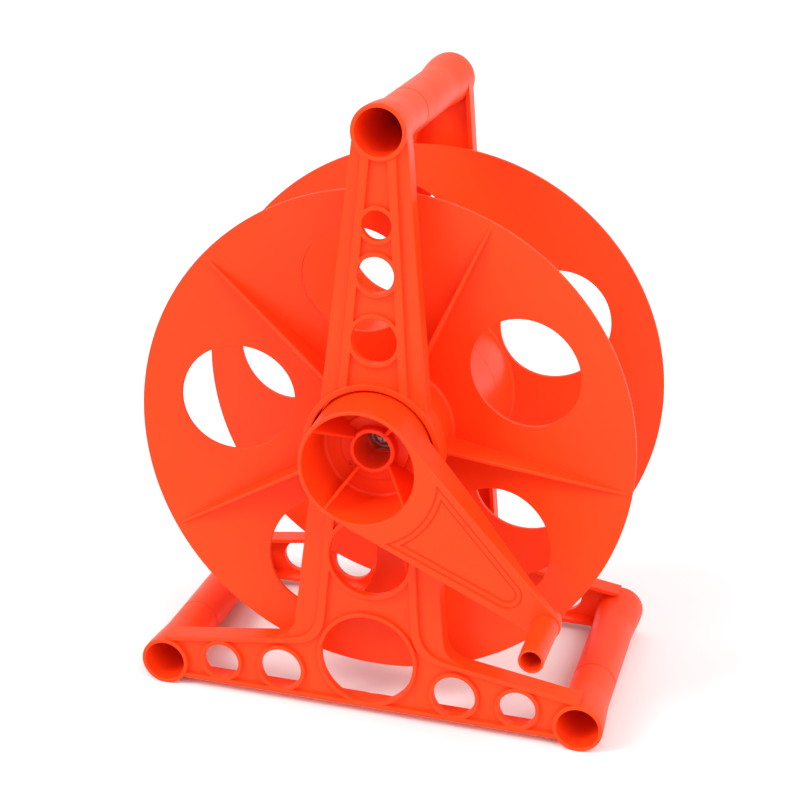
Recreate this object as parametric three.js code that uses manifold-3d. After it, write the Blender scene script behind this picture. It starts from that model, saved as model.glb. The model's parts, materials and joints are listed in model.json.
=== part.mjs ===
// Free-standing cord reel: two frame halves joined through their tubes, a two-part spool and a crank.
// Millimetres, +Z up, +X right, +Y from the crank side to the far side.
import * as THREE from 'three';
import { mergeVertices } from 'three/addons/utils/BufferGeometryUtils.js';
import Module from 'manifold-3d';

const wasm = await Module();
wasm.setup();

// Where the axle and the middle plane between the flanges sit above the resting point
const AXLE_Z = 176.5;
const MID_Y = 35;

// Frame halves: all Y values are distances out from the middle plane
const RING_FACE = 82;
const RAIL_FACE = 81;
const PANEL_FACE = 78.5;
const PANEL_BACK = 76;
const FRAME_BACK = 67;
const WALL = 2.6;
const BAR_TOP = -133.5;
const BAR_TOP_X = 61.3;
const BAR_SLOPE = 0.148;
const BAR_BOTTOM = -171;
const BASE_X = 132.1;
const BASE_Z = -161.2;
const BASE_R = 15.3;
const BASE_SEAM_R = 13.5;
const HANDLE_Z = 189.6;
const HANDLE_R = 16.2;
const HANDLE_REAR_R = 16;
const HANDLE_SEAM_R = 13.6;
const HALF_WIDTH = 34.9;
const WIDTH_SLOPE = 0.1015;
const RAIL_HALF = 23.56;
const RAIL_SLOPE = 0.076;
const RAIL_WIDTH = 5;
const BAR_RAIL = 3.2;
const CORNER = 13;
const RAIL_CORNER = 18;
const BORE_R = 38.4;
const COLLAR_R = 42;
const LIP = 2.6;
const FRAME_HOLES = [
  [0, 136.6, 8.7], [0, 107.6, 10.8], [0, 68.3, 13.6], [0, -69.2, 24.8], [0, -138.3, 29.2],
  [-94.7, -155.3, 11.3], [94.7, -155.3, 11.3], [-55.4, -153.8, 13.2], [55.4, -153.8, 13.2],
];

// Tubes, their spigots and the screws that close them
const SEAM = -24.6;
const JOINT_GAP = 0.3;
const TUBE_WALL = 2.5;
const WAIST_WALL = 1.75;
const FLARE_Y = 48;
const SPIGOT_END = -3;
const SPIGOT_WALL = 2.2;
const FLOOR = 3;
const TUBE_BOSS_R = 5.2;
const TUBE_BOSS_END = 14;
const TUBE_SIDES = 24;

// Spool halves
const FLANGE_R = 152;
const RIM_Y = 59.15;
const CONE = 0.21;
const SHEET = 2.5;
const DRUM_R = 59;
const JOURNAL_R = 37.6;
const JOURNAL_BORE = 34.8;
const JOURNAL_END = 77.8;
const HUB_WEB = [46, 43];
const SOCKET_FACE = 55;
const SOCKET_R = 19;
const HOLE_R = 34;
const HOLE_CIRCLE = 95.1;
const HOLE_ANGLE = 102;
const RIB_ANGLE = 66;
const RIB_T = 2.4;
const RIB_TOP = 58.6;
const FIVE = 5;
const SPOOL_SIDES = 48;
const HOLE_SIDES = 28;
const POST_SIDES = 12;
const CUP_SIDES = 40;
const SCREW_SIDES = 12;
const SCREW_SEAT = 33;
const POST_CIRCLE = 50;
const POST_R = 4.6;

// Crank
const CUP_RIM = -109.8;
const CUP_RIM_R = 35.8;
const CUP_BASE_R = 37;
const CUP_MOUTH_R = 33.5;
const CUP_STEP = -78.2;
const SKIRT_R = 34.4;
const CUP_FLOOR = -71.2;
const CUP_BACK = -69.5;
const CUP_DISC_R = 20.8;
const CUP_DISC = -72.9;
const CRANK_BOSS_R = 14;
const CRANK_BOSS_FACE = -79.5;
const CRANK_BOSS_BORE = 11.2;
const CRANK_BOSS_END_R = 9.4;
const HEX_R = 13;
const HEX_START = -55.4;
const CRANK_SEAT = -50;
const CRANK_END = -46.3;
const WEB_T = 2;
const ARM_ANGLE = -35.5;
const ARM_REACH = 139.8;
const ARM_TIP_R = 8.6;
const ARM_WALL = 2.4;
const ARM_BACK = -84;
const PLATE_BACK = -107.2;
const PANEL_START = 47;
const PANEL_STEP = 3.6;
const PANEL_DEPTH = 0.7;
const PANEL_REACH = 111;
const PANEL_R1 = 33;
const PANEL_R2 = 9.2;
const PIN_R = 4.4;
const PIN_END = -124;
const TIP_BACK = -99;

// Knob
const KNOB_BASE = -110.2;
const KNOB_FRONT = -152;
const KNOB_BASE_R = 8;
const KNOB_FRONT_R = 7.3;
const KNOB_BORE = 5.9;
const KNOB_SLEEVE = 4.8;
const KNOB_SHOULDER = -123.6;
const KNOB_SIDES = 20;

// Colours
const ORANGE = 0xf05a28;
const STEEL = 0xb9bcc0;
const radians = (degrees) => degrees * Math.PI / 180;

function toSolid(geometry) {
  const bare = geometry.clone();
  bare.deleteAttribute('normal');
  bare.deleteAttribute('uv');
  const merged = mergeVertices(bare, 1e-4);
  const index = merged.index.array;
  const kept = [];
  for (let i = 0; i < index.length; i += 3) {
    const [a, b, c] = [index[i], index[i + 1], index[i + 2]];
    if (a !== b && b !== c && c !== a) {
      kept.push(a, b, c);
    }
  }
  const mesh = new wasm.Mesh({
    numProp: 3,
    vertProperties: Float32Array.from(merged.attributes.position.array),
    triVerts: Uint32Array.from(kept),
  });
  return new wasm.Manifold(mesh);
}

function toGeometry(solid) {
  const mesh = solid.getMesh();
  const geometry = new THREE.BufferGeometry();
  geometry.setAttribute('position', new THREE.Float32BufferAttribute(mesh.vertProperties, 3));
  geometry.setIndex(Array.from(mesh.triVerts));
  geometry.computeVertexNormals();
  return geometry;
}

const join = (solids) => solids.reduce((sum, solid) => sum.add(solid));
const cut = (solid, tools) => tools.reduce((rest, tool) => rest.subtract(tool), solid);

// A shape drawn in (x, z), pushed between two Y values
function slab(shape, ya, yb, curveSegments = 12, angle = 0) {
  const depth = Math.abs(yb - ya);
  const geometry = new THREE.ExtrudeGeometry(shape, { depth, bevelEnabled: false, curveSegments });
  geometry.rotateX(Math.PI / 2);
  geometry.translate(0, Math.max(ya, yb), 0);
  geometry.rotateY(-radians(angle));
  return toSolid(geometry);
}

// A closed profile of (radius, y) turned about the Y axis, then moved to (x, z)
function turned(profile, sides, x = 0, z = 0, phase = 0) {
  const points = profile.map(([r, y]) => new THREE.Vector2(r, y));
  if (THREE.ShapeUtils.isClockWise(points)) {
    points.reverse();
  }
  points.push(points[0].clone());
  const geometry = new THREE.LatheGeometry(points, sides);
  geometry.rotateY(phase);
  geometry.translate(x, 0, z);
  return toSolid(geometry);
}

// A plain round bar about the Y axis
function bar(radius, ya, yb, sides, x = 0, z = 0, phase = 0) {
  const geometry = new THREE.CylinderGeometry(radius, radius, Math.abs(yb - ya), sides);
  geometry.rotateY(phase);
  geometry.translate(x, (ya + yb) / 2, z);
  return toSolid(geometry);
}

// A plate standing on the axle plane: outline in (radius, y), thickness across, turned to an angle
function fin(outline, thickness, angle) {
  const shape = new THREE.Shape(outline.map(([r, y]) => new THREE.Vector2(r, y)));
  const geometry = new THREE.ExtrudeGeometry(shape, { depth: thickness, bevelEnabled: false });
  geometry.translate(0, 0, -thickness / 2);
  geometry.rotateY(-radians(angle));
  return toSolid(geometry);
}

const polar = (radius, degrees) => [
  radius * Math.cos(radians(degrees)), radius * Math.sin(radians(degrees)),
];

// Half width of the upright and of its raised rails at a height
const uprightHalf = (z) => HALF_WIDTH - WIDTH_SLOPE * z;
const railHalf = (z) => RAIL_HALF - RAIL_SLOPE * z;

// The upright standing on its base bar, drawn inside the outer edge by the insets given
function frameOutline(half, corner, barInset, sideInset) {
  const top = (x) => BAR_TOP - BAR_SLOPE * (x - BAR_TOP_X) - barInset;
  const bottom = BAR_BOTTOM + barInset;
  const foot = half(BAR_TOP) - sideInset;
  const bend = top(foot) + corner;
  const neck = half(bend) - sideInset;
  const head = half(HANDLE_Z) - sideInset;
  const shape = new THREE.Shape();
  shape.moveTo(-BASE_X, bottom);
  shape.lineTo(BASE_X, bottom);
  shape.lineTo(BASE_X, top(BASE_X));
  shape.lineTo(foot + corner, top(foot + corner));
  shape.quadraticCurveTo(foot, top(foot), neck, bend);
  shape.lineTo(head, HANDLE_Z);
  shape.lineTo(-head, HANDLE_Z);
  shape.lineTo(-neck, bend);
  shape.quadraticCurveTo(-foot, top(foot), -foot - corner, top(foot + corner));
  shape.lineTo(-BASE_X, top(BASE_X));
  shape.closePath();
  return shape;
}

const TUBES = [
  { name: 'handle', x: 0, z: HANDLE_Z, frontR: HANDLE_R, rearR: HANDLE_REAR_R, seamR: HANDLE_SEAM_R },
  { name: 'base_left', x: -BASE_X, z: BASE_Z, frontR: BASE_R, rearR: BASE_R, seamR: BASE_SEAM_R },
  { name: 'base_right', x: BASE_X, z: BASE_Z, frontR: BASE_R, rearR: BASE_R, seamR: BASE_SEAM_R },
];

// Upright and base bar of one frame half; side is -1 for the crank side, +1 for the far side
function framePlate(side) {
  const at = (y) => side * y;
  const body = slab(frameOutline(uprightHalf, CORNER, 0, 0), at(PANEL_FACE), at(FRAME_BACK), 5);
  const hollow = slab(
    frameOutline(uprightHalf, CORNER, WALL, WALL), at(PANEL_BACK), at(FRAME_BACK - 1), 5);
  const railOuter = slab(frameOutline(railHalf, RAIL_CORNER, 0, 0), at(RAIL_FACE), at(PANEL_BACK), 5);
  const railInner = slab(
    frameOutline(railHalf, RAIL_CORNER, BAR_RAIL, RAIL_WIDTH), at(RAIL_FACE + 1), at(PANEL_FACE), 5);
  const shell = body.subtract(hollow).add(railOuter.subtract(railInner).subtract(hollow));
  const lips = [];
  const holes = [];
  for (const [x, z, r] of FRAME_HOLES) {
    const sides = r > 20 ? HOLE_SIDES : TUBE_SIDES * 2 / 3;
    lips.push(bar(r + LIP, at(RAIL_FACE), at(PANEL_BACK), sides, x, z));
    holes.push(bar(r, at(RAIL_FACE + 1), at(PANEL_BACK - 1), sides, x, z));
  }
  const collar = bar(COLLAR_R, at(RING_FACE), at(FRAME_BACK), CUP_SIDES);
  const bore = bar(BORE_R, at(RING_FACE + 1), at(FRAME_BACK - 1), CUP_SIDES);
  return cut(join([shell, ...lips, collar]), [...holes, bore]);
}

const flats = Math.PI / TUBE_SIDES;
const across = (radius) => radius / Math.cos(flats);

// Tubes flare only near the frames; the crank side carries the spigot, the far side the boss
function frontTube({ x, z, frontR, seamR }) {
  const spigot = seamR - WAIST_WALL - JOINT_GAP;
  const open = frontR - TUBE_WALL;
  const profile = [
    [frontR, -RING_FACE], [frontR, -FRAME_BACK], [seamR, -FLARE_Y], [seamR, SEAM], [spigot, SEAM],
    [spigot, SPIGOT_END], [2.3, SPIGOT_END], [2.3, SPIGOT_END - FLOOR],
    [spigot - SPIGOT_WALL, SPIGOT_END - FLOOR], [spigot - SPIGOT_WALL, SEAM - 4],
    [seamR - WAIST_WALL, -FLARE_Y], [open, -FRAME_BACK], [open, -RING_FACE],
  ];
  return turned(profile.map(([q, y]) => [across(q), y]), TUBE_SIDES, x, z, flats);
}

function rearTube({ x, z, rearR, seamR }) {
  const bore = seamR - WAIST_WALL;
  const open = rearR - TUBE_WALL;
  const web = SPIGOT_END + JOINT_GAP;
  const profile = [
    [seamR, SEAM + JOINT_GAP], [seamR, FLARE_Y], [rearR, FRAME_BACK], [rearR, RING_FACE],
    [open, RING_FACE], [open, FRAME_BACK], [bore, FLARE_Y], [bore, web + FLOOR],
    [TUBE_BOSS_R, web + FLOOR], [TUBE_BOSS_R, TUBE_BOSS_END], [2.3, TUBE_BOSS_END], [2.3, web],
    [bore, web], [bore, SEAM + JOINT_GAP],
  ];
  return turned(profile.map(([q, y]) => [across(q), y]), TUBE_SIDES, x, z, flats);
}

function frameHalf(side) {
  const tube = side < 0 ? frontTube : rearTube;
  const room = TUBES.map(({ x, z, frontR, rearR }) => {
    const open = across((side < 0 ? frontR : rearR) - TUBE_WALL);
    return bar(open, side * (RING_FACE + 1), side * (FRAME_BACK - 2), TUBE_SIDES, x, z, flats);
  });
  return join([cut(framePlate(side), room), ...TUBES.map(tube)]);
}

// Pan-head screw about the Y axis: head seat at `seat`, pointing along `direction`
function screw(x, z, seat, direction, length, shankR, headR, headH) {
  const along = (d) => seat + direction * d;
  return turned([
    [0, along(-headH)], [headR * 0.7, along(-headH)], [headR, along(-headH * 0.45)],
    [headR, along(0)], [shankR, along(0)], [shankR, along(length - 2)], [0, along(length)],
  ], SCREW_SIDES, x, z);
}

function flatRing(outer, inner, ya, yb, sides, x = 0, z = 0) {
  return turned([[outer, ya], [outer, yb], [inner, yb], [inner, ya]], sides, x, z);
}

// Distance of the flange's outer surface from the middle plane
const coneY = (r) => RIM_Y - CONE * (FLANGE_R - r);

// One spool half: dished flange, half drum, hub journal, five ribs, five screw posts
function spoolHalf(side) {
  const at = (y) => side * y;
  const profile = [
    [JOURNAL_R, JOURNAL_END], [JOURNAL_R, coneY(JOURNAL_R)], [FLANGE_R, RIM_Y],
    [FLANGE_R, RIM_Y - SHEET], [DRUM_R, coneY(DRUM_R) - SHEET], [DRUM_R, JOINT_GAP / 2],
    [DRUM_R - SHEET, JOINT_GAP / 2], [DRUM_R - SHEET, coneY(DRUM_R) - SHEET],
    [JOURNAL_BORE, coneY(JOURNAL_BORE) - SHEET], [JOURNAL_BORE, JOURNAL_END],
  ];
  const shell = turned(profile.map(([r, y]) => [r, at(y)]), SPOOL_SIDES);
  const web = bar(JOURNAL_BORE + 1, at(HUB_WEB[0]), at(HUB_WEB[1]), SPOOL_SIDES);
  const ribs = [];
  const posts = [];
  const cuts = [];
  for (let i = 0; i < FIVE; i += 1) {
    const turn = 360 / FIVE * i;
    const inner = JOURNAL_R - 1.4;
    const outer = FLANGE_R - 1.5;
    ribs.push(fin([
      [inner, at(coneY(inner) - 1.2)], [outer, at(coneY(outer) - 1.2)],
      [outer, at(RIB_TOP)], [inner, at(RIB_TOP)],
    ], RIB_T, RIB_ANGLE + turn));
    const [hx, hz] = polar(HOLE_CIRCLE, HOLE_ANGLE + turn);
    cuts.push(bar(HOLE_R, at(RIM_Y), at(30), HOLE_SIDES, hx, hz));
    const [px, pz] = polar(POST_CIRCLE, HOLE_ANGLE + turn);
    posts.push(bar(POST_R, at(JOINT_GAP / 2), at(coneY(POST_CIRCLE) - 1.3), POST_SIDES, px, pz));
    cuts.push(side < 0
      ? bar(2.3, at(-1), at(26), POST_SIDES, px, pz)
      : bar(2.3, at(-1), at(RIM_Y), POST_SIDES, px, pz));
  }
  return cut(join([shell, web, ...ribs, ...posts]), cuts);
}

// The crank side's hub web carries a six-sided socket and the screw hole
function frontSpoolHalf() {
  const socket = bar(SOCKET_R, -SOCKET_FACE, -HUB_WEB[1], TUBE_SIDES);
  const hex = bar(HEX_R + 0.4, -SOCKET_FACE - 1, -HUB_WEB[0], 6);
  return cut(spoolHalf(-1).add(socket), [hex, bar(3.4, -SOCKET_FACE, -HUB_WEB[1] + 1, SCREW_SIDES)]);
}

// The far side's screw heads sit in shallow flat-bottomed seats
function rearSpoolHalf() {
  const seats = [];
  for (let i = 0; i < FIVE; i += 1) {
    const [px, pz] = polar(POST_CIRCLE, HOLE_ANGLE + 360 / FIVE * i);
    seats.push(bar(POST_R - 0.2, SCREW_SEAT, RIM_Y, POST_SIDES, px, pz));
  }
  return cut(spoolHalf(1), seats);
}

// Outline round two circles and their common tangents, first circle at the origin
function taperOutline(r1, r2, reach) {
  const tangent = Math.acos((r1 - r2) / reach);
  const shape = new THREE.Shape();
  shape.absarc(0, 0, r1, tangent, 2 * Math.PI - tangent, false);
  shape.absarc(reach, 0, r2, -tangent, tangent, false);
  shape.closePath();
  return shape;
}

// One step of the shallow panel in the arm's face, drawn in from the panel's edge
function panelStep(inset, step) {
  const outline = taperOutline(PANEL_R1 - inset, PANEL_R2 - inset, PANEL_REACH);
  const floor = CUP_RIM + PANEL_DEPTH * step;
  const hub = bar(PANEL_START + inset, CUP_RIM - 2, floor + 1, CUP_SIDES);
  return slab(outline, CUP_RIM - 1, floor, 8, ARM_ANGLE).subtract(hub);
}

function crankArm() {
  const outer = slab(
    taperOutline(CUP_RIM_R, ARM_TIP_R, ARM_REACH), CUP_RIM, ARM_BACK, 12, ARM_ANGLE);
  const inner = slab(
    taperOutline(CUP_RIM_R - ARM_WALL, ARM_TIP_R - ARM_WALL, ARM_REACH),
    PLATE_BACK, ARM_BACK + 1, 12, ARM_ANGLE);
  const wedge = fin([
    [20, -86], [63, -91], [115, -102], [ARM_REACH, -104.8], [160, -106], [160, -80], [20, -80],
  ], 100, ARM_ANGLE);
  const mouth = bar(CUP_MOUTH_R, CUP_RIM - 1, ARM_BACK + 2, CUP_SIDES);
  return cut(outer, [inner, wedge, mouth, panelStep(0, 1), panelStep(PANEL_STEP, 2)]);
}

function crankCup() {
  return turned([
    [CUP_RIM_R, CUP_RIM], [CUP_BASE_R, CUP_STEP], [SKIRT_R, CUP_STEP], [SKIRT_R, CUP_BACK],
    [HEX_R - 0.4, CUP_BACK], [HEX_R - 0.4, HEX_START], [11, HEX_START], [11, CRANK_END],
    [3.4, CRANK_END], [3.4, CRANK_SEAT], [CRANK_BOSS_END_R, CRANK_SEAT],
    [CRANK_BOSS_BORE, CRANK_BOSS_FACE], [CRANK_BOSS_R, CRANK_BOSS_FACE], [CRANK_BOSS_R, CUP_DISC],
    [CUP_DISC_R, CUP_DISC], [CUP_DISC_R, CUP_FLOOR], [CUP_MOUTH_R - 1.5, CUP_FLOOR],
    [CUP_MOUTH_R, CUP_RIM],
  ], CUP_SIDES);
}

function crank() {
  const [tx, tz] = polar(ARM_REACH, ARM_ANGLE);
  const hollow = bar(CRANK_BOSS_END_R + 0.6, HEX_START - 2, CRANK_END + 1, SCREW_SIDES);
  const key = bar(HEX_R, HEX_START - 1, CRANK_END, 6).subtract(hollow);
  const webs = [0, 90, 180, 270].map((turn) => fin([
    [CRANK_BOSS_R - 1.5, CUP_BACK - 1], [CRANK_BOSS_R - 1.5, CRANK_BOSS_FACE + 0.6],
    [CUP_MOUTH_R + 0.4, CUP_RIM + 1.2], [CUP_MOUTH_R + 0.4, CUP_BACK - 1],
  ], WEB_T, ARM_ANGLE + turn));
  const tip = bar(ARM_TIP_R - 1, PLATE_BACK - 1, TIP_BACK, KNOB_SIDES, tx, tz);
  const pin = bar(PIN_R, PIN_END, CUP_RIM + 1, KNOB_SIDES, tx, tz);
  const pilot = bar(1.9, PIN_END - 1, TIP_BACK - 2.5, SCREW_SIDES, tx, tz);
  return cut(join([crankArm(), crankCup(), key, ...webs, tip, pin]), [pilot]);
}

function knob() {
  const [x, z] = polar(ARM_REACH, ARM_ANGLE);
  return turned([
    [KNOB_BASE_R, KNOB_BASE], [KNOB_FRONT_R, KNOB_FRONT + 0.8], [KNOB_FRONT_R - 0.7, KNOB_FRONT],
    [KNOB_BORE, KNOB_FRONT], [KNOB_BORE, KNOB_SHOULDER], [KNOB_SLEEVE, KNOB_SHOULDER],
    [KNOB_SLEEVE, KNOB_BASE],
  ], KNOB_SIDES, x, z);
}

// Six-sided nut behind the hub web
function crankNut() {
  const body = bar(7.5, -HUB_WEB[1] + JOINT_GAP, -HUB_WEB[1] + 5.3, 6);
  return body.subtract(bar(3.4, -HUB_WEB[1], -HUB_WEB[1] + 6, SCREW_SIDES));
}

function crankScrew() {
  const seat = CRANK_SEAT - 1.9;
  return turned([
    [0, seat - 4.2], [5.2, seat - 4.2], [6, seat - 3.4], [6, seat], [3, seat],
    [3, -HUB_WEB[1] + 7], [0, -HUB_WEB[1] + 8],
  ], SCREW_SIDES);
}

function finished(name, solid, colour, roughness, metalness) {
  const geometry = toGeometry(solid);
  geometry.translate(0, MID_Y, AXLE_Z);
  const material = new THREE.MeshStandardMaterial({ color: colour, roughness, metalness });
  const mesh = new THREE.Mesh(geometry, material);
  mesh.name = name;
  return mesh;
}

function assembly() {
  const group = new THREE.Group();
  const plastic = (name, solid) => group.add(finished(name, solid, ORANGE, 0.45, 0));
  const metal = (name, solid) => group.add(finished(name, solid, STEEL, 0.35, 1));
  plastic('front_frame', frameHalf(-1));
  plastic('rear_frame', frameHalf(1));
  for (const { name, x, z } of TUBES) {
    const seat = SPIGOT_END - FLOOR - JOINT_GAP;
    metal(`${name}_screw`, screw(x, z, seat, 1, 19, 2, 4.2, 2.8));
  }
  plastic('front_spool_half', frontSpoolHalf());
  plastic('rear_spool_half', rearSpoolHalf());
  for (let i = 0; i < FIVE; i += 1) {
    const [x, z] = polar(POST_CIRCLE, HOLE_ANGLE + 360 / FIVE * i);
    metal(`spool_screw_${i + 1}`, screw(x, z, SCREW_SEAT + JOINT_GAP, -1, 52, 2, 3.9, 2.6));
  }
  plastic('crank', crank());
  const tip = polar(ARM_REACH, ARM_ANGLE);
  metal('crank_washer', flatRing(8.6, 3.4, CRANK_SEAT - 1.6, CRANK_SEAT - JOINT_GAP, KNOB_SIDES));
  metal('crank_screw', crankScrew());
  metal('crank_nut', crankNut());
  plastic('knob', knob());
  metal('knob_washer', flatRing(5.5, 1.9, PIN_END - 1.3, PIN_END - JOINT_GAP, SCREW_SIDES, ...tip));
  metal('knob_screw', screw(...tip, PIN_END - 1.6, 1, 21, 1.6, 3.6, 2.4));
  return group;
}

export default assembly();
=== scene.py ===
import json
import math

import bmesh
import bpy
from mathutils import Matrix, Vector


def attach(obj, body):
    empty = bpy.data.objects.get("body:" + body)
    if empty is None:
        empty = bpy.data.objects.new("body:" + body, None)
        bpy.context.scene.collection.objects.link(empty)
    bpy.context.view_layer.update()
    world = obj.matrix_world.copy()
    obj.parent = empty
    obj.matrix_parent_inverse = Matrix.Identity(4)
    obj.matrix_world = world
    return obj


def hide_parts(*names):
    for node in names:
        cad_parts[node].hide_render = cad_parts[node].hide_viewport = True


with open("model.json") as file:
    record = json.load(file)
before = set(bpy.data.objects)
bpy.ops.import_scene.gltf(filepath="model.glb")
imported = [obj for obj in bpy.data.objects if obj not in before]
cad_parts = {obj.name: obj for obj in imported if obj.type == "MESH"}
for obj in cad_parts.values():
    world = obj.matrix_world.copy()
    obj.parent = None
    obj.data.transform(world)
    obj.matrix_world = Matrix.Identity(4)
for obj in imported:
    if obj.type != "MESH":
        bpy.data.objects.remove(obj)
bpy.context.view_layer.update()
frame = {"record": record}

RECORD = frame["record"]
JOINTS = {joint["name"]: joint for joint in RECORD["behaviour"]["joints"]}
AXLE = Vector(JOINTS["reel_spin"]["pos_m"])
KNOB_AXIS = Vector(JOINTS["knob_spin"]["pos_m"])
MM = 0.001

# Millimetres from the axle, with Y measured from the middle plane between the flanges
RING_FACE, RAIL_FACE, PANEL_FACE, PANEL_BACK, FRAME_BACK = 82, 81, 78.5, 76, 67
WALL = 2.6
HALF_WIDTH, WIDTH_SLOPE = 34.9, 0.1015
RAIL_HALF_WIDTH, RAIL_WIDTH_SLOPE = 23.56, 0.076
RAIL_INSET, RAIL_SIDE_INSET, RAIL_SHORT = 3.2, 5, 2
BAR_TOP, BAR_BOTTOM = -133.5, -171
BAR_TOP_X, BAR_SLOPE = 61.3, 0.148
BASE_X, BASE_Z, BASE_R, BASE_SEAM_R = 132.1, -161.2, 15.3, 13.5
HANDLE_Z, HANDLE_R, HANDLE_REAR_R, HANDLE_SEAM_R = 189.6, 16.2, 16, 13.6
CORNER, RAIL_CORNER = 13, 18
BORE_R, COLLAR_R, LIP = 38.4, 42, 2.6
FRAME_HOLES = [
    (0, 136.6, 8.7), (0, 107.6, 10.8), (0, 68.3, 13.6), (0, -69.2, 24.8), (0, -138.3, 29.2),
    (-94.7, -155.3, 11.3), (94.7, -155.3, 11.3), (-55.4, -153.8, 13.2), (55.4, -153.8, 13.2),
]
TUBES = [
    ("handle", 0, HANDLE_Z, HANDLE_R, HANDLE_REAR_R, HANDLE_SEAM_R),
    ("base_left", -BASE_X, BASE_Z, BASE_R, BASE_R, BASE_SEAM_R),
    ("base_right", BASE_X, BASE_Z, BASE_R, BASE_R, BASE_SEAM_R),
]
SEAM, GAP, TUBE_WALL, WAIST_WALL, FLARE_Y, SPIGOT_END, FLOOR = -24.6, 0.3, 2.5, 1.75, 48, -3, 3
FLANGE_R, RIM_Y, CONE, SHEET, DRUM_R = 152, 59.15, 0.21, 2.5, 59
JOURNAL_R, JOURNAL_BORE, JOURNAL_END = 37.6, 34.8, 77.8
HUB_WEB = (46, 43)
HOLE_R, HOLE_CIRCLE, HOLE_ANGLE, RIB_ANGLE = 34, 95.1, 102, 66
RIB_T, RIB_TOP, POST_CIRCLE, POST_R, SCREW_SEAT = 2.4, 58.6, 50, 4.6, 33
CUP_RIM, CUP_RIM_R, CUP_BASE_R, CUP_MOUTH_R = -109.8, 35.8, 37, 33.5
CUP_STEP, SKIRT_R, CUP_FLOOR, CUP_BACK, CUP_DISC_R, CUP_DISC = -78.2, 34.4, -71.2, -69.5, 20.8, -72.9
BOSS_R, BOSS_FACE, BOSS_BORE, BOSS_END_R = 14, -79.5, 11.2, 9.4
GATE_MARK = (-14.3, -12.0)
HEX_R, HEX_START, CRANK_SEAT, CRANK_END = 13, -55.4, -50, -46.3
ARM_TIP_R, ARM_WALL, ARM_BACK, PLATE_BACK = 8.6, 2.4, -84, -107.2
PANEL_START, PANEL_STEP, PANEL_DEPTH, PANEL_REACH, PANEL_R1, PANEL_R2 = 47, 3.6, 0.7, 111, 33, 9.2
PIN_R, PIN_END, TIP_BACK = 4.4, -124, -99
KNOB_BASE, KNOB_FRONT, KNOB_SHOULDER = -110.2, -152, -123.6
KNOB_BASE_R, KNOB_FRONT_R, KNOB_BORE, KNOB_SLEEVE = 8, 7.3, 5.9, 4.8
PILOT_R, PILOT_DEPTH, CRANK_BORE_R, PIN_BORE_R = 2.3, 26, 3.4, 1.9
RIB_EDGE, HOLE_EDGE, GROOVE = 0.75, 0.4, 0.9
TIP = (KNOB_AXIS - AXLE) / MM
ARM_ANGLE = math.degrees(math.atan2(TIP.z, TIP.x))
ARM_REACH = math.hypot(TIP.x, TIP.z)


# ---------------------------------------------------------------- outlines
def rounded(corners, steps=5):
    """Closed outline through (u, v, radius) corners, each turned with an arc of that radius."""
    out = []
    count = len(corners)
    for i, corner in enumerate(corners):
        p = Vector(corner[:2])
        r = corner[2] if len(corner) > 2 else 0
        a = Vector(corners[i - 1][:2])
        b = Vector(corners[(i + 1) % count][:2])
        if r <= 0:
            out.append(p)
            continue
        da, db = (a - p).normalized(), (b - p).normalized()
        angle = da.angle(db)
        reach = min(r / math.tan(angle / 2), 0.49 * (a - p).length, 0.49 * (b - p).length)
        r = reach * math.tan(angle / 2)
        centre = p + (da + db).normalized() * (r / math.sin(angle / 2))
        start, end = p + da * reach - centre, p + db * reach - centre
        first = math.atan2(start.y, start.x)
        sweep = math.atan2(end.y, end.x) - first
        sweep = (sweep + math.pi) % (2 * math.pi) - math.pi
        for k in range(steps + 1):
            t = first + sweep * k / steps
            out.append(centre + Vector((math.cos(t), math.sin(t))) * r)
    return out


def taper_outline(r1, r2, reach, count=64):
    """Outline round two circles and their common tangents, the first circle at the origin."""
    tangent = math.acos((r1 - r2) / reach)
    out = []
    for k in range(count + 1):
        t = tangent + (2 * math.pi - 2 * tangent) * k / count
        out.append(Vector((r1 * math.cos(t), r1 * math.sin(t))))
    for k in range(count // 2 + 1):
        t = -tangent + 2 * tangent * k / (count // 2)
        out.append(Vector((reach + r2 * math.cos(t), r2 * math.sin(t))))
    return out


def upright_half(z):
    return HALF_WIDTH - WIDTH_SLOPE * z


def rail_half(z):
    return RAIL_HALF_WIDTH - RAIL_WIDTH_SLOPE * z


def curve_to(out, control, end, steps=12):
    """Adds a quadratic curve from the last point of an outline."""
    start = out[-1]
    for k in range(1, steps + 1):
        t = k / steps
        out.append(start * (1 - t) ** 2 + Vector(control) * (2 * t * (1 - t)) + Vector(end) * t * t)


def frame_outline(half, corner, bar_inset, side_inset, reach=0):
    """The upright standing on its base bar, drawn inside the outer edge by the insets given."""
    def top(x):
        return BAR_TOP - BAR_SLOPE * (x - BAR_TOP_X) - bar_inset
    end = BASE_X + reach
    foot = half(BAR_TOP) - side_inset
    bend = top(foot) + corner
    right = [Vector((end, BAR_BOTTOM + bar_inset)), Vector((end, top(end))),
             Vector((foot + corner, top(foot + corner)))]
    curve_to(right, (foot, top(foot)), (half(bend) - side_inset, bend))
    right.append(Vector((half(HANDLE_Z) - side_inset, HANDLE_Z + reach)))
    return right + [Vector((-p.x, p.y)) for p in reversed(right)]


def panel_outline(inset, count=40):
    """The shallow panel in the face of the arm: two tangents, a round tip and an arc round the cup."""
    r1, r2, start = PANEL_R1 - inset, PANEL_R2 - inset, PANEL_START + inset
    tangent = math.acos((r1 - r2) / PANEL_REACH)
    along = math.sqrt(start ** 2 - r1 ** 2)
    corner = Vector((r1 * math.cos(tangent) + along * math.sin(tangent),
                     r1 * math.sin(tangent) - along * math.cos(tangent)))
    turn = math.atan2(corner.y, corner.x)
    out = []
    for k in range(count + 1):
        t = tangent - 2 * tangent * k / count
        out.append(Vector((PANEL_REACH + r2 * math.cos(t), r2 * math.sin(t))))
    for k in range(count + 1):
        t = -turn + 2 * turn * k / count
        out.append(Vector((start * math.cos(t), start * math.sin(t))))
    return out


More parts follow.
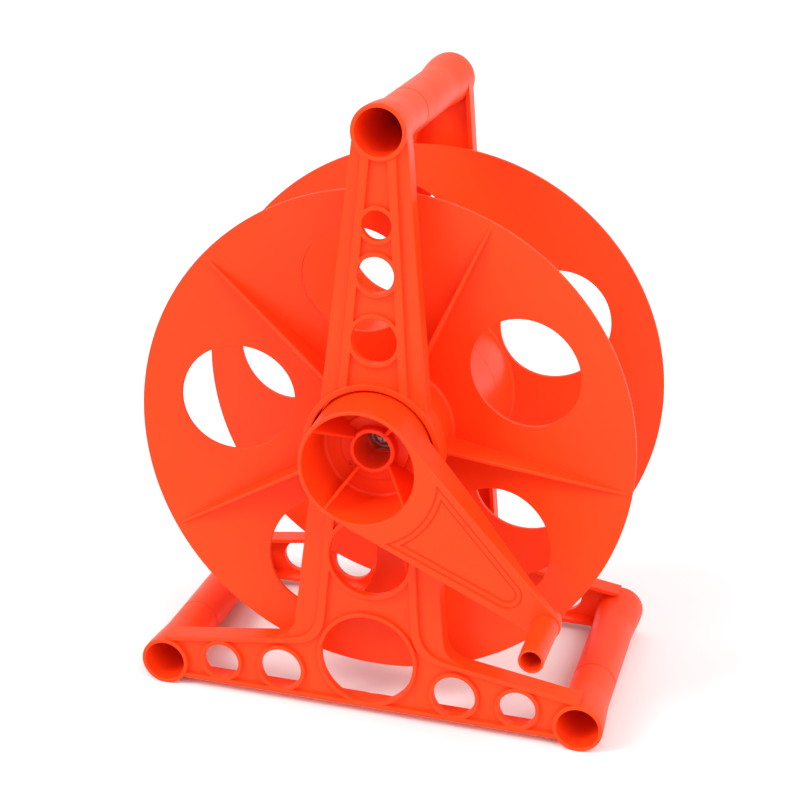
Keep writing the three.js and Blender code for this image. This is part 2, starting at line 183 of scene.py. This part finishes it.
# ---------------------------------------------------------------- meshes
def placed(bm, name):
    """Mesh object from a bmesh in millimetres from the axle, moved into the shared frame in metres."""
    bmesh.ops.recalc_face_normals(bm, faces=bm.faces)
    if bm.calc_volume(signed=True) < 0:
        bmesh.ops.reverse_faces(bm, faces=bm.faces)
    bm.transform(Matrix.Translation(AXLE) @ Matrix.Scale(MM, 4))
    mesh = bpy.data.meshes.new(name)
    bm.to_mesh(mesh)
    bm.free()
    obj = bpy.data.objects.new(name, mesh)
    bpy.context.scene.collection.objects.link(obj)
    return obj


def revolve(profile, sides=96, x=0, z=0):
    """Closed profile of (radius, y) turned about the Y axis through (x, z)."""
    bm = bmesh.new()
    rings = []
    for k in range(sides):
        t = 2 * math.pi * k / sides
        rings.append([bm.verts.new((x + r * math.cos(t), y, z + r * math.sin(t))) for r, y in profile])
    count = len(profile)
    for k in range(sides):
        here, there = rings[k], rings[(k + 1) % sides]
        for i in range(count):
            j = (i + 1) % count
            bm.faces.new((here[i], here[j], there[j], there[i]))
    bmesh.ops.remove_doubles(bm, verts=bm.verts, dist=1e-4)
    bmesh.ops.dissolve_degenerate(bm, edges=bm.edges, dist=1e-5)
    return placed(bm, "turned")


def prism(outlines, depth, edge, matrix):
    """Flat outlines (first outer, then holes) with rounded edges, middle plane at local z = 0."""
    curve = bpy.data.curves.new("plate", "CURVE")
    curve.dimensions = "2D"
    curve.fill_mode = "BOTH"
    for points in outlines:
        spline = curve.splines.new("POLY")
        spline.points.add(len(points) - 1)
        for slot, p in zip(spline.points, points):
            slot.co = (p[0], p[1], 0, 1)
        spline.use_cyclic_u = True
    curve.extrude = depth / 2 - edge
    curve.bevel_depth = edge
    curve.bevel_resolution = 2
    curve.offset = -edge
    source = bpy.data.objects.new("plate", curve)
    bpy.context.scene.collection.objects.link(source)
    bpy.context.view_layer.update()
    graph = bpy.context.evaluated_depsgraph_get()
    mesh = bpy.data.meshes.new_from_object(source.evaluated_get(graph))
    bpy.data.objects.remove(source)
    bpy.data.curves.remove(curve)
    bm = bmesh.new()
    bm.from_mesh(mesh)
    bpy.data.meshes.remove(mesh)
    bmesh.ops.remove_doubles(bm, verts=bm.verts, dist=1e-4)
    bm.transform(matrix)
    return placed(bm, "plate")


def facing(ya, yb, angle=0):
    """Maps local (u, v, w) to x, z at an angle in the frame plane, with w along -Y."""
    c, s = math.cos(math.radians(angle)), math.sin(math.radians(angle))
    return Matrix(((c, -s, 0, 0), (0, 0, -1, (ya + yb) / 2), (s, c, 0, 0), (0, 0, 0, 1)))


def slab(outlines, ya, yb, edge=0.6, angle=0):
    return prism(outlines, abs(yb - ya), edge, facing(ya, yb, angle))


def fin(outline, thickness, angle, edge=0.6):
    """Plate along the axle: outline in (radius, y), turned to an angle."""
    c, s = math.cos(math.radians(angle)), math.sin(math.radians(angle))
    matrix = Matrix(((c, 0, -s, 0), (0, 1, 0, 0), (s, 0, c, 0), (0, 0, 0, 1)))
    return prism([outline], thickness, edge, matrix)


def rod(radius, ya, yb, sides=96, x=0, z=0):
    return revolve([(0, ya), (radius, ya), (radius, yb), (0, yb)], sides, x, z)


def ring(outer, inner, ya, yb, edge=0.7, sides=96, x=0, z=0):
    corners = [(outer, ya, edge), (outer, yb, edge), (inner, yb, edge), (inner, ya, edge)]
    return revolve(rounded(corners, 4), sides, x, z)


def combine(base, others, operation):
    for other in others:
        modifier = base.modifiers.new("combine", "BOOLEAN")
        modifier.operation = operation
        modifier.solver = "MANIFOLD"
        modifier.object = other
    bpy.context.view_layer.update()
    graph = bpy.context.evaluated_depsgraph_get()
    mesh = bpy.data.meshes.new_from_object(base.evaluated_get(graph))
    base.modifiers.clear()
    old = base.data
    base.data = mesh
    bpy.data.meshes.remove(old)
    for other in others:
        data = other.data
        bpy.data.objects.remove(other)
        bpy.data.meshes.remove(data)
    return base


def join(base, others):
    return combine(base, others, "UNION")


def cut(base, others):
    return combine(base, others, "DIFFERENCE")


def finish_mesh(obj, name, sharp=40):
    """Cleans the piece, then gives it smooth shading that keeps flat faces flat."""
    bm = bmesh.new()
    bm.from_mesh(obj.data)
    bmesh.ops.remove_doubles(bm, verts=bm.verts, dist=2e-6)
    bmesh.ops.dissolve_degenerate(bm, edges=bm.edges, dist=2e-6)
    for face in bm.faces:
        face.smooth = True
    bm.to_mesh(obj.data)
    bm.free()
    obj.data.set_sharp_from_angle(angle=math.radians(sharp))
    weighted = obj.modifiers.new("weighted", "WEIGHTED_NORMAL")
    weighted.keep_sharp = True
    weighted.weight = 60
    obj.name = name
    obj.data.name = name
    return obj


# ---------------------------------------------------------------- materials
def new_material(name):
    material = bpy.data.materials.new(name)
    material.use_nodes = True
    nodes, links = material.node_tree.nodes, material.node_tree.links
    return material, nodes, links, nodes["Principled BSDF"]


def noise(nodes, links, coords, scale, detail, rough=0.5):
    node = nodes.new("ShaderNodeTexNoise")
    node.inputs["Scale"].default_value = scale
    node.inputs["Detail"].default_value = detail
    node.inputs["Roughness"].default_value = rough
    links.new(coords, node.inputs["Vector"])
    return node.outputs["Fac"]


def ramp(nodes, links, value, low, high, out_low, out_high):
    node = nodes.new("ShaderNodeMapRange")
    node.inputs["From Min"].default_value = low
    node.inputs["From Max"].default_value = high
    node.inputs["To Min"].default_value = out_low
    node.inputs["To Max"].default_value = out_high
    links.new(value, node.inputs["Value"])
    return node.outputs["Result"]


def plastic(name, seed, roughness=0.4):
    """Moulded orange plastic: slow colour drift, fine moulded texture, rounded edges."""
    material, nodes, links, shader = new_material(name)
    geometry = nodes.new("ShaderNodeTexCoord")
    shift = nodes.new("ShaderNodeMapping")
    shift.inputs["Location"].default_value = (seed, seed * 0.7, -seed * 1.3)
    links.new(geometry.outputs["Object"], shift.inputs["Vector"])
    coords = shift.outputs["Vector"]
    drift = ramp(nodes, links, noise(nodes, links, coords, 9, 3), 0.3, 0.7, 0, 1)
    mix = nodes.new("ShaderNodeMix")
    mix.data_type = "RGBA"
    mix.inputs["A"].default_value = (0.900, 0.042, 0.0040, 1)
    mix.inputs["B"].default_value = (0.930, 0.050, 0.0055, 1)
    links.new(drift, mix.inputs["Factor"])
    links.new(mix.outputs["Result"], shader.inputs["Base Color"])
    smear = noise(nodes, links, coords, 38, 4, 0.6)
    links.new(ramp(nodes, links, smear, 0.3, 0.7, roughness - 0.05, roughness + 0.07),
              shader.inputs["Roughness"])
    shader.inputs["IOR"].default_value = 1.49
    shader.inputs["Specular IOR Level"].default_value = 0.18
    edge = nodes.new("ShaderNodeBevel")
    edge.samples = 4
    edge.inputs["Radius"].default_value = 0.0004
    grain = nodes.new("ShaderNodeBump")
    grain.inputs["Strength"].default_value = 0.16
    grain.inputs["Distance"].default_value = 0.00012
    links.new(noise(nodes, links, coords, 1500, 2), grain.inputs["Height"])
    links.new(edge.outputs["Normal"], grain.inputs["Normal"])
    sink = nodes.new("ShaderNodeBump")
    sink.inputs["Strength"].default_value = 0.35
    sink.inputs["Distance"].default_value = 0.0006
    links.new(noise(nodes, links, coords, 26, 2), sink.inputs["Height"])
    links.new(grain.outputs["Normal"], sink.inputs["Normal"])
    links.new(sink.outputs["Normal"], shader.inputs["Normal"])
    return material


def zinc(name):
    """Plated steel with a blotchy, faintly grained surface, its grey darkened as painted shade for the
    screw deep in the crank bore.
    """
    material, nodes, links, shader = new_material(name)
    geometry = nodes.new("ShaderNodeTexCoord")
    coords = geometry.outputs["Object"]
    blotch = ramp(nodes, links, noise(nodes, links, coords, 420, 3), 0.3, 0.7, 0, 1)
    mix = nodes.new("ShaderNodeMix")
    mix.data_type = "RGBA"
    # Both greys are kept dark as painted shade for the screw seated deep in the crank bore; the blotches
    # between them are the plating's own.
    mix.inputs["A"].default_value = (0.40, 0.40, 0.41, 1)
    mix.inputs["B"].default_value = (0.52, 0.52, 0.50, 1)
    links.new(blotch, mix.inputs["Factor"])
    links.new(mix.outputs["Result"], shader.inputs["Base Color"])
    shader.inputs["Metallic"].default_value = 1
    links.new(ramp(nodes, links, noise(nodes, links, coords, 900, 3), 0.3, 0.7, 0.24, 0.42),
              shader.inputs["Roughness"])
    bump = nodes.new("ShaderNodeBump")
    bump.inputs["Strength"].default_value = 0.2
    bump.inputs["Distance"].default_value = 0.00005
    links.new(noise(nodes, links, coords, 2500, 2), bump.inputs["Height"])
    links.new(bump.outputs["Normal"], shader.inputs["Normal"])
    return material


def dress(obj, material, body, slot, *nodes):
    obj.data.materials.clear()
    obj.data.materials.append(material)
    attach(obj, body)
    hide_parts(*nodes)
    return obj


# ---------------------------------------------------------------- stand
def flare(r, seam_r, side):
    """Tube radius from the middle stretch out to the frame, as rounded corners."""
    return [(seam_r, side * FLARE_Y, 90), (r - 0.55, side * FRAME_BACK, 60), (r, side * 76, 20)]


def front_tube(x, z, r, seam_r):
    spigot = seam_r - WAIST_WALL - GAP
    core = spigot - 2.2
    profile = rounded([(r, -RING_FACE, 0.6)] + list(reversed(flare(r, seam_r, -1))) + [
        (seam_r, SEAM - 0.7, 0.2), (seam_r - 0.6, SEAM, 0), (spigot, SEAM, 0),
        (spigot, SPIGOT_END, 0.6), (PILOT_R, SPIGOT_END, 0), (PILOT_R, SPIGOT_END - FLOOR, 0),
        (core, SPIGOT_END - FLOOR, 1.2), (core, SEAM - 4, 20), (seam_r - WAIST_WALL, -FLARE_Y, 60),
        (r - TUBE_WALL, -FRAME_BACK, 30), (r - TUBE_WALL, -RING_FACE, 0.5)], 6)
    return revolve(profile[::-1], 112, x, z)


def rear_tube(x, z, r, seam_r):
    web = SPIGOT_END + GAP
    bore = seam_r - WAIST_WALL
    profile = rounded([(seam_r, SEAM + GAP + 0.7, 0.2)] + flare(r, seam_r, 1) + [
        (r, RING_FACE, 0.6), (r - TUBE_WALL, RING_FACE, 0.5), (r - TUBE_WALL, FRAME_BACK, 30),
        (bore, FLARE_Y, 60), (bore, web + FLOOR, 1.2), (5.2, web + FLOOR, 0.8), (5.2, 14, 0.5),
        (PILOT_R, 14, 0), (PILOT_R, web, 0), (bore, web, 0), (bore, SEAM + GAP, 0),
        (seam_r - 0.6, SEAM + GAP, 0)], 6)
    return revolve(profile, 112, x, z)


def frame_half(side, name):
    def at(y):
        return side * y
    body = slab([frame_outline(upright_half, CORNER, 0, 0)], at(PANEL_FACE), at(FRAME_BACK), 0.4)
    hollow = slab([frame_outline(upright_half, CORNER, WALL, WALL)],
                  at(PANEL_BACK), at(FRAME_BACK - 6), 0.4)
    rails = slab([
        frame_outline(rail_half, RAIL_CORNER, 0, 0),
        frame_outline(rail_half, RAIL_CORNER, RAIL_INSET, RAIL_SIDE_INSET, -RAIL_SHORT),
    ], at(RAIL_FACE), at(PANEL_BACK + 0.4), 0.5)
    plate = join(cut(body, [hollow]), [rails])
    cutters, rings = [], []
    for x, z, r in FRAME_HOLES:
        cutters.append(rod(r + 1.2, at(RAIL_FACE + 2), at(FRAME_BACK - 1), 72, x, z))
        rings.append(ring(r + LIP, r, at(RAIL_FACE), at(PANEL_BACK), 0.5, 88, x, z))
    cutters.append(rod(BORE_R + 1.5, at(RAIL_FACE + 3), at(FRAME_BACK - 1), 128))
    rings.append(ring(COLLAR_R, BORE_R, at(RING_FACE), at(FRAME_BACK), 0.5, 160))
    tube = front_tube if side < 0 else rear_tube
    for _, x, z, front_r, rear_r, seam_r in TUBES:
        r = front_r if side < 0 else rear_r
        cutters.append(rod(r - 1.0, at(RING_FACE + 2), at(FRAME_BACK - 2), 72, x, z))
        rings.append(tube(x, z, r, seam_r))
    cut(plate, cutters)
    join(plate, rings)
    return finish_mesh(plate, name)


# ---------------------------------------------------------------- spool
def cone_y(r):
    return RIM_Y - CONE * (FLANGE_R - r)


def polar(radius, degrees):
    return radius * math.cos(math.radians(degrees)), radius * math.sin(math.radians(degrees))


def spool_half(side, name):
    def at(y):
        return side * y
    corners = [
        (JOURNAL_R, JOURNAL_END, 0.6), (JOURNAL_R, cone_y(JOURNAL_R), 2.0), (FLANGE_R, RIM_Y, 0.4),
        (FLANGE_R, RIM_Y - SHEET, 0.4), (DRUM_R, cone_y(DRUM_R) - SHEET, 2.0), (DRUM_R, GAP / 2, 0.4),
        (DRUM_R - SHEET, GAP / 2, 0), (DRUM_R - SHEET, cone_y(DRUM_R) - SHEET, 0),
        (JOURNAL_BORE, cone_y(JOURNAL_BORE) - SHEET, 0), (JOURNAL_BORE, JOURNAL_END, 0.8),
    ]
    shell = revolve([(p[0], at(p[1])) for p in rounded(corners, 5)], 200)
    web = rod(JOURNAL_BORE + 1, at(HUB_WEB[0]), at(HUB_WEB[1]), 96)
    cutters, extras = [], [web]
    for i in range(5):
        turn = 72 * i
        inner, outer = JOURNAL_R - 1.4, FLANGE_R - 1.5
        extras.append(fin(rounded([
            (inner, at(cone_y(inner) - 1.2), 0), (outer, at(cone_y(outer) - 1.2), 0),
            (outer, at(RIB_TOP), 0.3), (inner, at(RIB_TOP), 0),
        ], 3), RIB_T, RIB_ANGLE + turn, RIB_EDGE))
        hx, hz = polar(HOLE_CIRCLE, HOLE_ANGLE + turn)
        cutters.append(rod(HOLE_R, at(RIM_Y + 1), at(30), 128, hx, hz))
        px, pz = polar(POST_CIRCLE, HOLE_ANGLE + turn)
        extras.append(rod(POST_R, at(GAP / 2), at(cone_y(POST_CIRCLE) - 1.3), 32, px, pz))
        cutters.append(rod(PILOT_R, at(-1), at(PILOT_DEPTH if side < 0 else RIM_Y), 32, px, pz))
        if side > 0:
            cutters.append(rod(POST_R - 0.2, SCREW_SEAT, RIM_Y, 48, px, pz))
    if side < 0:
        extras.append(ring(19, 9, -55, -HUB_WEB[1], 0.6, 72))
        cutters.append(revolve([(0, -56), (HEX_R + 0.4, -56), (HEX_R + 0.4, -46), (0, -46)], 6))
        cutters.append(rod(CRANK_BORE_R, -56, -42, 32))
    join(shell, extras)
    cut(shell, cutters)
    round_holes(shell)
    return finish_mesh(shell, name)


def round_holes(obj):
    """Rounds the rims of the five flange holes."""
    bm = bmesh.new()
    bm.from_mesh(obj.data)
    centres = [polar(HOLE_CIRCLE, HOLE_ANGLE + 72 * i) for i in range(5)]

    def on_rim(vert):
        p = (vert.co - AXLE) / MM
        return any(abs(math.hypot(p.x - x, p.z - z) - HOLE_R) < 0.05 for x, z in centres)
    edges = [
        e for e in bm.edges
        if on_rim(e.verts[0]) and on_rim(e.verts[1]) and len(e.link_faces) == 2
        and e.calc_face_angle(0) > math.radians(40)
    ]
    bmesh.ops.bevel(
        bm, geom=edges, offset=HOLE_EDGE * MM, segments=3, profile=0.5, affect="EDGES", clamp_overlap=True)
    bm.to_mesh(obj.data)
    bm.free()


# ---------------------------------------------------------------- crank and knob
def crank():
    outer = slab([taper_outline(CUP_RIM_R, ARM_TIP_R, ARM_REACH)], CUP_RIM, ARM_BACK, 0.9, ARM_ANGLE)
    inner = slab([taper_outline(CUP_RIM_R - ARM_WALL, ARM_TIP_R - ARM_WALL, ARM_REACH)],
                 PLATE_BACK, ARM_BACK + 8, 0.6, ARM_ANGLE)
    wedge = fin(rounded([
        (20, -86, 2), (63, -91, 20), (115, -102, 30), (ARM_REACH, -104.8, 4), (160, -106, 1),
        (160, -70, 1), (20, -70, 1),
    ], 6), 100, ARM_ANGLE, 0.2)
    mouth = rod(CUP_MOUTH_R + 1, CUP_RIM - 2, ARM_BACK + 4, 128)

    def step(inset, depth):
        return slab([panel_outline(inset)], CUP_RIM - 3, CUP_RIM + depth, 0.2, ARM_ANGLE)

    def groove(inset, depth):
        return slab([panel_outline(inset), panel_outline(inset + GROOVE)],
                    CUP_RIM - 3, CUP_RIM + depth, 0.15, ARM_ANGLE)
    cut(outer, [inner, wedge, mouth, step(0, PANEL_DEPTH), step(PANEL_STEP, 2 * PANEL_DEPTH)])
    cut(outer, [groove(0, PANEL_DEPTH + 0.4), groove(PANEL_STEP, 2 * PANEL_DEPTH + 0.4)])
    cup = revolve(rounded([
        (CUP_RIM_R, CUP_RIM, 0.9), (CUP_BASE_R, CUP_STEP, 0.8), (SKIRT_R, CUP_STEP, 0),
        (SKIRT_R, CUP_BACK, 0.5), (HEX_R - 0.4, CUP_BACK, 0), (HEX_R - 0.4, HEX_START, 0),
        (11, HEX_START, 0), (11, CRANK_END, 0), (CRANK_BORE_R, CRANK_END, 0), (CRANK_BORE_R, CRANK_SEAT, 0),
        (BOSS_END_R, CRANK_SEAT, 0.6), (BOSS_BORE, BOSS_FACE, 0.4), (BOSS_R, BOSS_FACE, 1.0),
        (BOSS_R, CUP_DISC, 0.8), (CUP_DISC_R, CUP_DISC, 0.4), (CUP_DISC_R, CUP_FLOOR, 0.4),
        (CUP_MOUTH_R - 1.5, CUP_FLOOR, 2.2), (CUP_MOUTH_R, CUP_RIM, 0.9),
    ], 5), 160)
    inner_r = BOSS_END_R + 0.6
    key = revolve([
        (inner_r, HEX_START - 1), (HEX_R, HEX_START - 1), (HEX_R, CRANK_END), (inner_r, CRANK_END)], 6)
    pieces = [cup, key]
    for turn in (0, 90, 180, 270):
        pieces.append(fin(rounded([
            (BOSS_R - 1.2, CUP_BACK - 1, 0), (BOSS_R - 1.2, BOSS_FACE - 1.2, 0),
            (CUP_MOUTH_R + 0.4, CUP_RIM + 1.2, 0), (CUP_MOUTH_R + 0.4, CUP_BACK - 1, 0),
        ]), 2.0, ARM_ANGLE + turn, 0.6))
    pieces.append(ring(ARM_TIP_R - 1, PIN_BORE_R, PLATE_BACK - 1, TIP_BACK, 0.5, 64, TIP.x, TIP.z))
    pieces.append(revolve(rounded([
        (PIN_R, PIN_END, 0.4), (PIN_R, CUP_RIM + 1, 0),
        (PIN_BORE_R, CUP_RIM + 1, 0), (PIN_BORE_R, PIN_END, 0),
    ], 3), 64, TIP.x, TIP.z))
    join(outer, pieces)
    cut(outer, [rod(PIN_BORE_R, PIN_END - 1, TIP_BACK - 2.5, 32, TIP.x, TIP.z),
                rod(1.4, CUP_DISC - 1, CUP_DISC + 0.8, 32, *GATE_MARK)])
    return finish_mesh(outer, "crank_moulding")


def knob():
    corners = [
        (KNOB_BASE_R, KNOB_BASE, 0.5), (KNOB_BASE_R - 0.35, KNOB_BASE - 12, 60),
        (KNOB_FRONT_R, KNOB_FRONT, 0.9), (KNOB_BORE, KNOB_FRONT, 0.6), (KNOB_BORE, KNOB_SHOULDER, 0.3),
        (KNOB_SLEEVE, KNOB_SHOULDER, 0.2), (KNOB_SLEEVE, KNOB_BASE, 0.3),
    ]
    return finish_mesh(revolve(rounded(corners, 6), 96, TIP.x, TIP.z), "knob_sleeve")


# ---------------------------------------------------------------- screws
def screw(name, x, z, seat, direction, length, shank_r, head_r, head_h, pitch=1.4):
    """Pan-head screw with a cross recess and thread-forming ridges."""
    def along(d):
        return seat + direction * d
    profile = [(0, along(-head_h)), (head_r * 0.55, along(-head_h))]
    for k in range(1, 6):
        t = k / 5 * math.pi / 2
        drop = head_h * 0.55 * (1 - math.cos(t))
        profile.append((head_r * (0.55 + 0.45 * math.sin(t)), along(-head_h + drop)))
    profile += [(head_r, along(-0.15)), (head_r - 0.15, along(0)), (shank_r * 0.82, along(0))]
    d = 1.5
    while d < length - 3:
        profile += [(shank_r * 0.82, along(d)), (shank_r, along(d + pitch * 0.35)),
                    (shank_r * 0.82, along(d + pitch * 0.7))]
        d += pitch
    profile += [(shank_r * 0.7, along(length - 2)), (0.2, along(length)), (0, along(length))]
    body = revolve(profile, 40, x, z)
    arm = head_r * 0.52
    half = head_r * 0.11
    depth = head_h * 0.62
    cross = [
        (arm, -half), (arm, half), (half, half), (half, arm), (-half, arm), (-half, half),
        (-arm, half), (-arm, -half), (-half, -half), (-half, -arm), (half, -arm), (half, -half),
    ]
    top, low = sorted((along(-head_h - 1), along(-head_h + depth)))
    tool = slab([[Vector((x + u, z + v)) for u, v in cross]], top, low, 0.05)
    cut(body, [tool])
    return finish_mesh(body, name, 35)


def washer(name, outer, inner, ya, yb, x=0, z=0):
    return finish_mesh(ring(outer, inner, ya, yb, 0.25, 64, x, z), name, 35)


def hex_nut(name):
    ya, yb = -HUB_WEB[1] + GAP, -HUB_WEB[1] + 5.3
    body = revolve([(3.0, ya), (7.5, ya), (7.5, yb), (3.0, yb)], 6)
    corner = revolve(rounded([(0, ya - 1, 0), (6.4, ya - 0.1, 0), (7.8, ya + 0.8, 0), (7.8, yb - 0.8, 0),
                              (6.4, yb + 0.1, 0), (0, yb + 1, 0)]), 48)
    return finish_mesh(combine(body, [corner], "INTERSECT"), name, 30)


# ---------------------------------------------------------------- assembly
def build():
    orange = plastic("orange_stand", 0.0)
    reel_orange = plastic("orange_reel", 3.7)
    crank_orange = plastic("orange_crank", 8.1, 0.38)
    steel = zinc("zinc_steel")
    dress(frame_half(-1, "front_frame_moulding"), orange, "stand", "orange_plastic", "front_frame")
    dress(frame_half(1, "rear_frame_moulding"), orange, "stand", "orange_plastic", "rear_frame")
    dress(spool_half(-1, "front_spool_moulding"), reel_orange, "reel", "orange_plastic", "front_spool_half")
    dress(spool_half(1, "rear_spool_moulding"), reel_orange, "reel", "orange_plastic", "rear_spool_half")
    dress(crank(), crank_orange, "reel", "orange_plastic", "crank")
    dress(knob(), crank_orange, "knob_body", "orange_plastic", "knob")
    for node, x, z, _, _, _ in TUBES:
        dress(screw(f"{node}_pan_screw", x, z, SPIGOT_END - FLOOR - GAP, 1, 19, 2, 4.2, 2.8),
              steel, "stand", "zinc_steel", f"{node}_screw")
    for i in range(5):
        x, z = polar(POST_CIRCLE, HOLE_ANGLE + 72 * i)
        dress(screw(f"spool_pan_screw_{i + 1}", x, z, SCREW_SEAT + GAP, -1, 52, 2, 3.9, 2.6),
              steel, "reel", "zinc_steel", f"spool_screw_{i + 1}")
    dress(washer("crank_flat_washer", 8.6, CRANK_BORE_R, CRANK_SEAT - 1.6, CRANK_SEAT - GAP),
          steel, "reel", "zinc_steel", "crank_washer")
    dress(screw("crank_pan_screw", 0, 0, CRANK_SEAT - 1.9, 1, 16.5, 3, 6, 4.2, 1.0),
          steel, "reel", "zinc_steel", "crank_screw")
    dress(hex_nut("crank_hex_nut"), steel, "reel", "zinc_steel", "crank_nut")
    dress(washer("knob_flat_washer", 5.5, PIN_BORE_R, PIN_END - 1.3, PIN_END - GAP, TIP.x, TIP.z),
          steel, "reel", "zinc_steel", "knob_washer")
    dress(screw("knob_pan_screw", TIP.x, TIP.z, PIN_END - 1.6, 1, 21, 1.6, 3.6, 2.4, 1.2),
          steel, "reel", "zinc_steel", "knob_screw")


# ---------------------------------------------------------------- camera, floor, light
CAMERA_LENS = 82.34
CAMERA_TURN = (14.85, 21.25, 1.63)
CAMERA_PLACE = (267.66, -1028.06, 415.83)


def camera():
    data = bpy.data.cameras.new("camera")
    data.sensor_width = 36
    data.lens = CAMERA_LENS
    data.clip_end = 50
    obj = bpy.data.objects.new("camera", data)
    bpy.context.scene.collection.objects.link(obj)
    azimuth, elevation, roll = (math.radians(angle) for angle in CAMERA_TURN)
    back = Vector((math.sin(azimuth) * math.cos(elevation), -math.cos(azimuth) * math.cos(elevation),
                   math.sin(elevation)))
    right = (-back).cross(Vector((0, 0, 1))).normalized()
    up = right.cross(-back)
    c, s = math.cos(roll), math.sin(roll)
    right, up = right * c + up * s, up * c - right * s
    matrix = Matrix((right, up, back)).transposed().to_4x4()
    matrix.translation = AXLE + Vector(CAMERA_PLACE) * MM
    obj.matrix_world = matrix
    bpy.context.scene.camera = obj


def soft_sun(name, towards, strength, degrees):
    """Wide soft light from one side: `towards` points at the light."""
    data = bpy.data.lights.new(name, "SUN")
    data.energy = strength
    data.angle = math.radians(degrees)
    obj = bpy.data.objects.new(name, data)
    bpy.context.scene.collection.objects.link(obj)
    obj.rotation_euler = (-Vector(towards)).to_track_quat("-Z", "Y").to_euler()


def studio():
    bm = bmesh.new()
    bmesh.ops.create_grid(bm, x_segments=24, y_segments=24, size=6)
    mesh = bpy.data.meshes.new("floor")
    bm.to_mesh(mesh)
    bm.free()
    floor = bpy.data.objects.new("floor", mesh)
    bpy.context.scene.collection.objects.link(floor)
    material, _, _, shader = new_material("pale_floor")
    shader.inputs["Base Color"].default_value = (0.80, 0.80, 0.80, 1)
    shader.inputs["Roughness"].default_value = 0.8
    mesh.materials.append(material)
    world = bpy.data.worlds.new("studio")
    world.use_nodes = True
    world.node_tree.nodes["Background"].inputs["Color"].default_value = (1, 1, 1, 1)
    world.node_tree.nodes["Background"].inputs["Strength"].default_value = 1.0
    bpy.context.scene.world = world
    soft_sun("key", (-0.58, -0.50, 0.64), 2.1, 26)
    soft_sun("fill", (0.60, -0.42, 0.68), 1.5, 40)
    view = bpy.context.scene.view_settings
    view.view_transform = "Standard"
    view.look = "None"


build()
camera()
studio()
